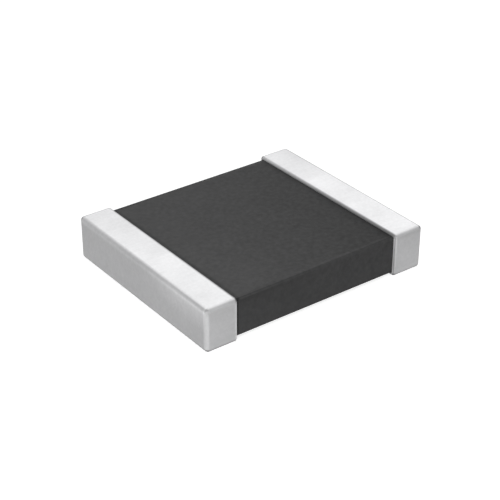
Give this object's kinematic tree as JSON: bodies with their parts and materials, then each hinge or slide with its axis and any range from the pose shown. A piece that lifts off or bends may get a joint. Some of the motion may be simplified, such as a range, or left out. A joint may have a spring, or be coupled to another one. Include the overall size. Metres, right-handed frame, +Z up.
{
  "type": "smd ceramic capacitor",
  "caption": "Flat rectangular surface-mount ceramic capacitor: dark ceramic block with a silvery wrap-round solder termination on each end.",
  "frame": {"origin": "middle of the underside, at the level of the two terminations' soldering faces", "axes": "+X along the length from the left termination to the right one, +Y across the width, +Z up through the thickness"},
  "size_m": [0.0058, 0.0048, 0.001],
  "materials": {
    "ceramic": "matte",
    "electrode_nickel": "satin",
    "copper": "matte",
    "nickel": "satin",
    "tin": "matte"
  },
  "bodies": {
    "root": {"ceramic_body": "ceramic", "electrode_01": "electrode_nickel", "electrode_02": "electrode_nickel", "electrode_03": "electrode_nickel", "electrode_04": "electrode_nickel", "electrode_05": "electrode_nickel", "electrode_06": "electrode_nickel", "electrode_07": "electrode_nickel", "electrode_08": "electrode_nickel", "electrode_09": "electrode_nickel", "electrode_10": "electrode_nickel", "electrode_11": "electrode_nickel", "electrode_12": "electrode_nickel", "electrode_13": "electrode_nickel", "electrode_14": "electrode_nickel", "electrode_15": "electrode_nickel", "electrode_16": "electrode_nickel", "electrode_17": "electrode_nickel", "electrode_18": "electrode_nickel", "electrode_19": "electrode_nickel", "electrode_20": "electrode_nickel", "left_copper_base": "copper", "left_nickel_barrier": "nickel", "left_tin_plating": "tin", "right_copper_base": "copper", "right_nickel_barrier": "nickel", "right_tin_plating": "tin"}
  },
  "joints": []
}
